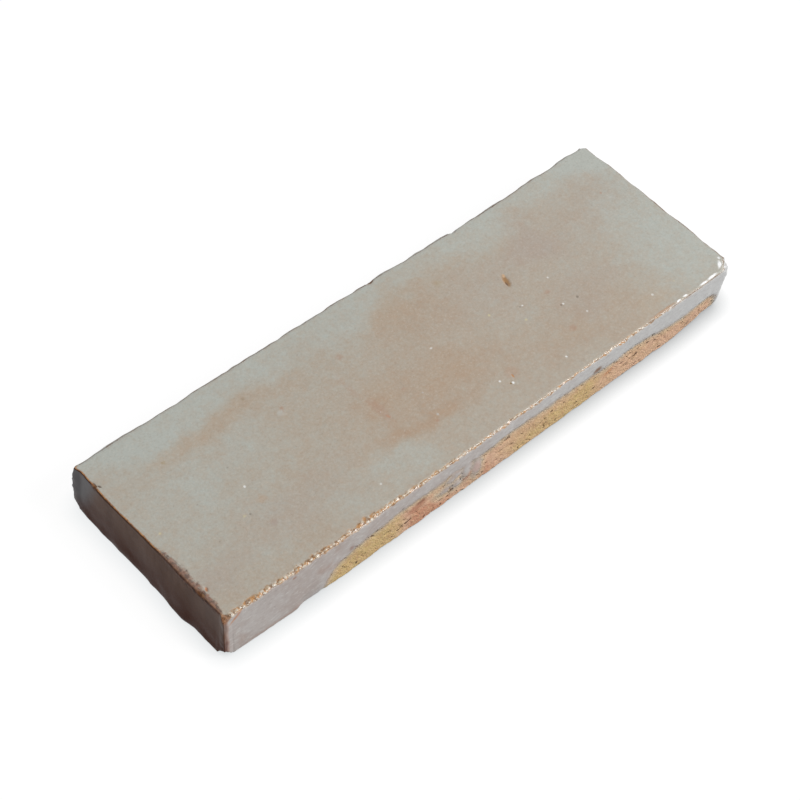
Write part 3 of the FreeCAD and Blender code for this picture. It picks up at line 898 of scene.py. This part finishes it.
def ramp(value, low, high, start=0.0, end=1.0, soft=True):
    """A ramp from start at low to end at high, soft at both ends or straight."""
    return make(
        tree, "ShaderNodeMapRange",
        {"Value": value, "From Min": low, "From Max": high, "To Min": start, "To Max": end},
        interpolation_type="SMOOTHSTEP" if soft else "LINEAR",
    ).outputs[0]


def mixed(share, first, second):
    """Two colours mixed by a share from 0 to 1."""
    return make(tree, "ShaderNodeMix", {0: share, 6: first, 7: second}, data_type="RGBA").outputs[2]


def times(first, second):
    """The product of two numbers, as where two masks overlap."""
    return maths(tree, "MULTIPLY", first, second)


def plus(value, added, amount=1.0):
    """A number with some amount of another added."""
    return maths(tree, "MULTIPLY_ADD", added, amount, value)


def stored(name):
    """A number kept on the tile's points."""
    return make(tree, "ShaderNodeAttribute", attribute_name=name).outputs["Fac"]


def cloud(size, detail=2.0, roughness=0.5, shift=0.0, stretch=(1.0, 1.0, 1.0)):
    """Noise round 0 with clouds about as wide as the size, in millimetres."""
    scaled = tuple(part / (size * MM) for part in stretch)
    moved = (shift, shift * 0.7, -shift)
    laid = make(tree, "ShaderNodeMapping", {"Vector": here, "Scale": scaled, "Location": moved})
    grainy = make(
        tree, "ShaderNodeTexNoise",
        {"Vector": laid.outputs[0], "Scale": 1.0, "Detail": detail, "Roughness": roughness},
    )
    return maths(tree, "SUBTRACT", grainy.outputs["Fac"], 0.5)


def mottled(size, shift, spread, first, second, detail=3.0, stretch=(1.0, 1.0, 1.0)):
    """Two colours in clouds of the size given. A small spread makes the change between them sharp."""
    return mixed(ramp(cloud(size, detail, 0.6, shift, stretch), -spread, spread), first, second)


print("attributes:", len(mesh.attributes))

# %% [markdown]
# ## The glaze of the face
# One number, the tone, says how green or how pink a place is, and two ramps turn it into colour.
# Warm and mauve clouds and a fine speckle lie over that.

# %% Glaze on the face
tone = times(stored("tone"), 0.85)
for size, amount in ((11, 0.7), (2.6, 1.2), (1.0, 1.3), (0.4, 0.8)):
    tone = plus(tone, cloud(size, 3.0, 0.6, size), amount)
face_colour = mixed(ramp(tone, -1.2, 0.0, soft=False), paint(166, 143, 122), paint(169, 159, 145))
face_colour = mixed(ramp(tone, 0.0, 1.1, soft=False), face_colour, paint(171, 174, 167))
face_colour = mixed(times(stored("warmth"), 0.22), face_colour, paint(176, 148, 118))
face_colour = mixed(times(stored("mauve"), 0.4), face_colour, paint(160, 149, 144))
speckle = cloud(0.5, 3.0, 0.7, 14.0)
face_colour = mixed(ramp(speckle, 0.0, 0.3, 0.0, 0.4), face_colour, paint(196, 190, 178))
face_colour = mixed(ramp(speckle, -0.3, 0.0, 0.4, 0.0), face_colour, paint(138, 126, 112))
print("nodes up to the face's glaze:", len(tree.nodes))

# %% [markdown]
# ## The glaze of the sides
# On the long sides the glaze is cooler than on the face, a lilac that turns to grey and pale towards
# the right, with fine streaks and a few brown smudges. The short end in view has a brown glaze.

# %% Glaze on the sides
SIDE_LILAC, SIDE_GREY, SIDE_PALE = paint(164, 152, 146), paint(175, 168, 164), paint(181, 181, 180)
along, across, rise = make(tree, "ShaderNodeSeparateXYZ", {0: here}).outputs
side_glaze = mottled(6, 20.0, 0.15, SIDE_LILAC, SIDE_GREY)
side_glaze = mixed(ramp(along, -50 * MM, 70 * MM), side_glaze, SIDE_PALE)
streaks = cloud(0.7, 4.0, 0.7, 21.0, (0.5, 1.0, 1.0))
side_glaze = mixed(ramp(streaks, 0.0, 0.25, 0.0, 0.6), side_glaze, paint(202, 202, 198))
side_glaze = mixed(ramp(streaks, -0.25, 0.0, 0.6, 0.0), side_glaze, paint(146, 136, 132))
side_glaze = mixed(times(stored("smudged"), 0.6), side_glaze, paint(150, 120, 104))
print("nodes up to the sides' glaze:", len(tree.nodes))

# %% [markdown]
# The brown end is darkest at its foot. Two pale blooms lie on it: a strong blue-grey one that slants
# down from the back corner, thicker glaze with a painted sheen that stands in for its reflection,
# and a weak one at the front corner.

# %% Glaze on the short end
end_glaze = mottled(4, 22.0, 0.15, paint(104, 68, 46), paint(122, 86, 64), stretch=(1.0, 1.0, 0.25))
end_glaze = mixed(ramp(rise, 2.0 * MM, 12.5 * MM, 0.85, 0.0), end_glaze, paint(84, 38, 20))
front_bloom = times(ramp(across, -23.0 * MM, -8.0 * MM, 0.6, 0.0), ramp(rise, 5.0 * MM, 12.0 * MM))
end_glaze = mixed(front_bloom, end_glaze, paint(140, 118, 108))
slanting = plus(across, rise, 0.45)
# Blue-grey of thicker glaze with a painted sheen, slanting down from the back corner.
back_bloom_and_sheen = times(ramp(slanting, 21.5 * MM, 26.5 * MM), ramp(rise, 0.5 * MM, 7.0 * MM, 0.2, 0.8))
end_glaze = mixed(back_bloom_and_sheen, end_glaze, paint(154, 154, 158))
short_end, brown_end = stored("short_end"), stored("brown_end")
side_glaze = mixed(ramp(brown_end, -0.6, -0.1, 0.0, 0.55), side_glaze, paint(150, 104, 82))
side_glaze = mixed(ramp(brown_end, -0.25, 0.35), side_glaze, end_glaze)
arris = stored("arris")
glaze_colour = mixed(ramp(arris, -0.35, 0.25), side_glaze, face_colour)
print("nodes up to the whole glaze:", len(tree.nodes))

# %% [markdown]
# ## Bare clay
# The body is terracotta that fired pink or red in some places and ochre in others, paler just under
# the glaze, with dark pits. Its grain is finer than the relief, so it is drawn with noise.

# %% Bare clay
glaze = stored("glaze")
PINK_CLAY, OCHRE_CLAY, RED_CLAY = paint(219, 180, 153), paint(208, 180, 126), paint(196, 136, 108)
ochre_share = ramp(plus(stored("ochre"), cloud(3.0, 3.0, 0.6, 31.0)), -0.1, 0.95, soft=False)
clay = mixed(ochre_share, PINK_CLAY, OCHRE_CLAY)
clay = mixed(ramp(stored("ochre"), -1.0, -0.1, 0.8, 0.0), clay, RED_CLAY)
clay = mixed(ramp(glaze, -2.8, -0.4, 0.0, 0.85), clay, paint(212, 196, 168))
clay = mixed(ramp(cloud(1.3, 4.0, 0.75, 33.0), -0.1, 0.2, 0.0, 0.6), clay, paint(190, 146, 112))
clay = mixed(ramp(cloud(0.5, 3.0, 0.7, 35.0), 0.0, 0.2, 0.0, 0.75), clay, paint(226, 196, 158))
speck = ramp(plus(cloud(1.15, 1.0, 0.5, 37.0, (0.8, 1.0, 1.4)), stored("pitted"), 0.11), 0.20, 0.26)
pits = maths(tree, "MAXIMUM", speck, ramp(stored("pits"), 0.3, 0.8))
clay = mixed(times(pits, 0.8), clay, paint(82, 50, 32))
print("nodes up to the clay:", len(tree.nodes))

# %% [markdown]
# ## Where the glaze is thin
# Over an arris the glaze is so thin that the iron in the clay burns through, orange to dark brown.
# That makes the line along the short end, with a dark smear beside it. At the end of a run the glaze
# fades into the clay, and a little brown gathers there.

# %% Edge of the glaze, smear and thin line
ragged = cloud(0.8, 3.0, 0.6, 41.0)
inside = plus(glaze, ragged, 0.9)
colour = mixed(ramp(inside, -1.4, 0.5), clay, glaze_colour)
rim = times(ramp(inside, -0.1, 0.15), ramp(inside, 0.25, 0.7, 1.0, 0.0))
colour = mixed(times(rim, 0.25), colour, paint(160, 126, 104))

smear = ramp(plus(stored("smear"), cloud(0.5, 3.0, 0.7, 43.0), 1.5), 0.12, 0.85)
smear_colour = mottled(0.9, 44.0, 0.12, paint(84, 60, 50), paint(138, 100, 82))
colour = mixed(times(smear, 0.9), colour, smear_colour)
toned_arris = plus(stored("arris_line"), cloud(1.2, 3.0, 0.6, 42.0), 0.5)
ridge = maths(tree, "ABSOLUTE", toned_arris)
gold = mottled(0.9, 45.0, 0.1, paint(150, 92, 40), paint(206, 142, 78))
thin_line = mixed(ramp(toned_arris, -0.15, 0.1), paint(84, 50, 28), gold)
line = times(ramp(ridge, 0.2, 0.5, 1.0, 0.0), ramp(short_end, 0.2, 0.5))
colour = mixed(times(line, ramp(smear, 0.0, 1.0, 0.95, 0.25)), colour, thin_line)
print("nodes up to the thin glaze:", len(tree.nodes))

# %% [markdown]
# The beads are pale on top and golden brown in the seams between them. The far edges and the rest of
# the arris have a broken brown line.

# %% Beads and far edges
band = stored("bead_band")
seam = ramp(plus(stored("beads"), ragged, 0.8), 0.15, 0.75, 1.0, 0.0)
bead_colour = mottled(1.4, 47.0, 0.1, paint(180, 156, 124), paint(218, 210, 196))
seam_colour = mottled(0.9, 49.0, 0.08, paint(112, 74, 36), paint(178, 124, 66), detail=2.0)
colour = mixed(times(band, 0.6), colour, bead_colour)
colour = mixed(times(times(band, seam), 0.85), colour, seam_colour)
elsewhere = maths(tree, "SUBTRACT", 1.0, maths(tree, "MAXIMUM", band, short_end))
other_edges = times(ramp(ridge, 0.08, 0.3, 1.0, 0.0), elsewhere)
broken = ramp(cloud(3.0, 3.0, 0.6, 48.0), -0.12, 0.12, 0.45, 1.0)
colour = mixed(times(other_edges, broken), colour, paint(104, 70, 46))
print("nodes up to the edges:", len(tree.nodes))

# %% [markdown]
# The marks bring their own colours, kept on the points. Chips show the clay, stained brown.

# %% Marks and chips
hue = make(tree, "ShaderNodeAttribute", attribute_name="mark_hue")
mark = times(ramp(plus(stored("mark"), ragged, 0.6), 0.0, 0.7), hue.outputs["Alpha"])
colour = mixed(mark, colour, hue.outputs["Color"])
chipped = mottled(0.8, 46.0, 0.15, paint(126, 84, 56), paint(176, 130, 94))
bare = stored("bare")
colour = mixed(bare, colour, chipped)
print("nodes up to the chips:", len(tree.nodes))

# %% [markdown]
# ## Shine
# Glaze shines softly and its beads are bright, and clay doesn't shine. The roughness follows the
# same masks as the colours. A bump adds the grain that is finer than the grid of the mesh.

# %% Shine, bump and the shader
matt = maths(tree, "MAXIMUM", ramp(inside, -0.15, 0.15, 1.0, 0.0), bare)
glossy_arris = times(ramp(arris, -1.0, -0.3), ramp(arris, 0.6, 1.4, 1.0, 0.0))
roughness = plus(maths(tree, "MULTIPLY_ADD", glossy_arris, -0.16, 0.34), matt, 0.52)
fine = times(cloud(0.4, 3.0, 0.65, 50.0), maths(tree, "MULTIPLY_ADD", matt, 0.35, 0.02))
bump_height = plus(plus(fine, cloud(2.4, 2.0, 0.5, 52.0), 0.05), times(pits, matt), -0.25)
bump = make(tree, "ShaderNodeBump", {"Height": bump_height, "Distance": MM, "Strength": 1.0})
shader = make(tree, "ShaderNodeBsdfPrincipled", {
    "Base Color": colour, "Roughness": roughness, "Normal": bump.outputs[0],
    "IOR": 1.5, "Specular IOR Level": 0.4,
})
tree.links.new(shader.outputs[0], make(tree, "ShaderNodeOutputMaterial").inputs[0])
mesh.materials.append(finish)
print("nodes in the finish:", len(tree.nodes))

# %% [markdown]
# ## The duller short end, kept in shade
# The brown end is kept as dark as it lies in shade by a copy of the finish that hardly reflects, so
# that copy is painted shade. How much a surface reflects is one number for a whole shader, so the
# end gets a copy of the finish with a lower one, up to the line of its arris.

# %% A duller copy for the short end
DULL_LEVEL = 0.05
# The duller copy is painted shade for the short end.
shaded_end_finish = finish.copy()
shaded_end_finish.name = "dull_shaded_brown_end"
shaded_end_finish.node_tree.nodes[shader.name].inputs["Specular IOR Level"].default_value = DULL_LEVEL
mesh.materials.append(shaded_end_finish)
at_end = (near_short_share > 0.45) & (to_arris < 0.01) & ~on_bottom
slots = np.array([all(at_end[corner] for corner in face.vertices) for face in mesh.polygons], np.int32)
mesh.polygons.foreach_set("material_index", slots)
print("faces of the short end:", int(slots.sum()))

# %% [markdown]
# ## Size
# The visual tile's box is measured, and how far it grew past the imported model's box is printed.
# The visual tile has to stay in the imported model's box.

# %% Measure the boxes and finish
visual_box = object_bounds()
bpy.context.scene.view_settings.view_transform = "Standard"
grown = (np.array(visual_box) - np.array(cad_box)) / MM
print("grown by, mm:", grown.round(2).tolist())
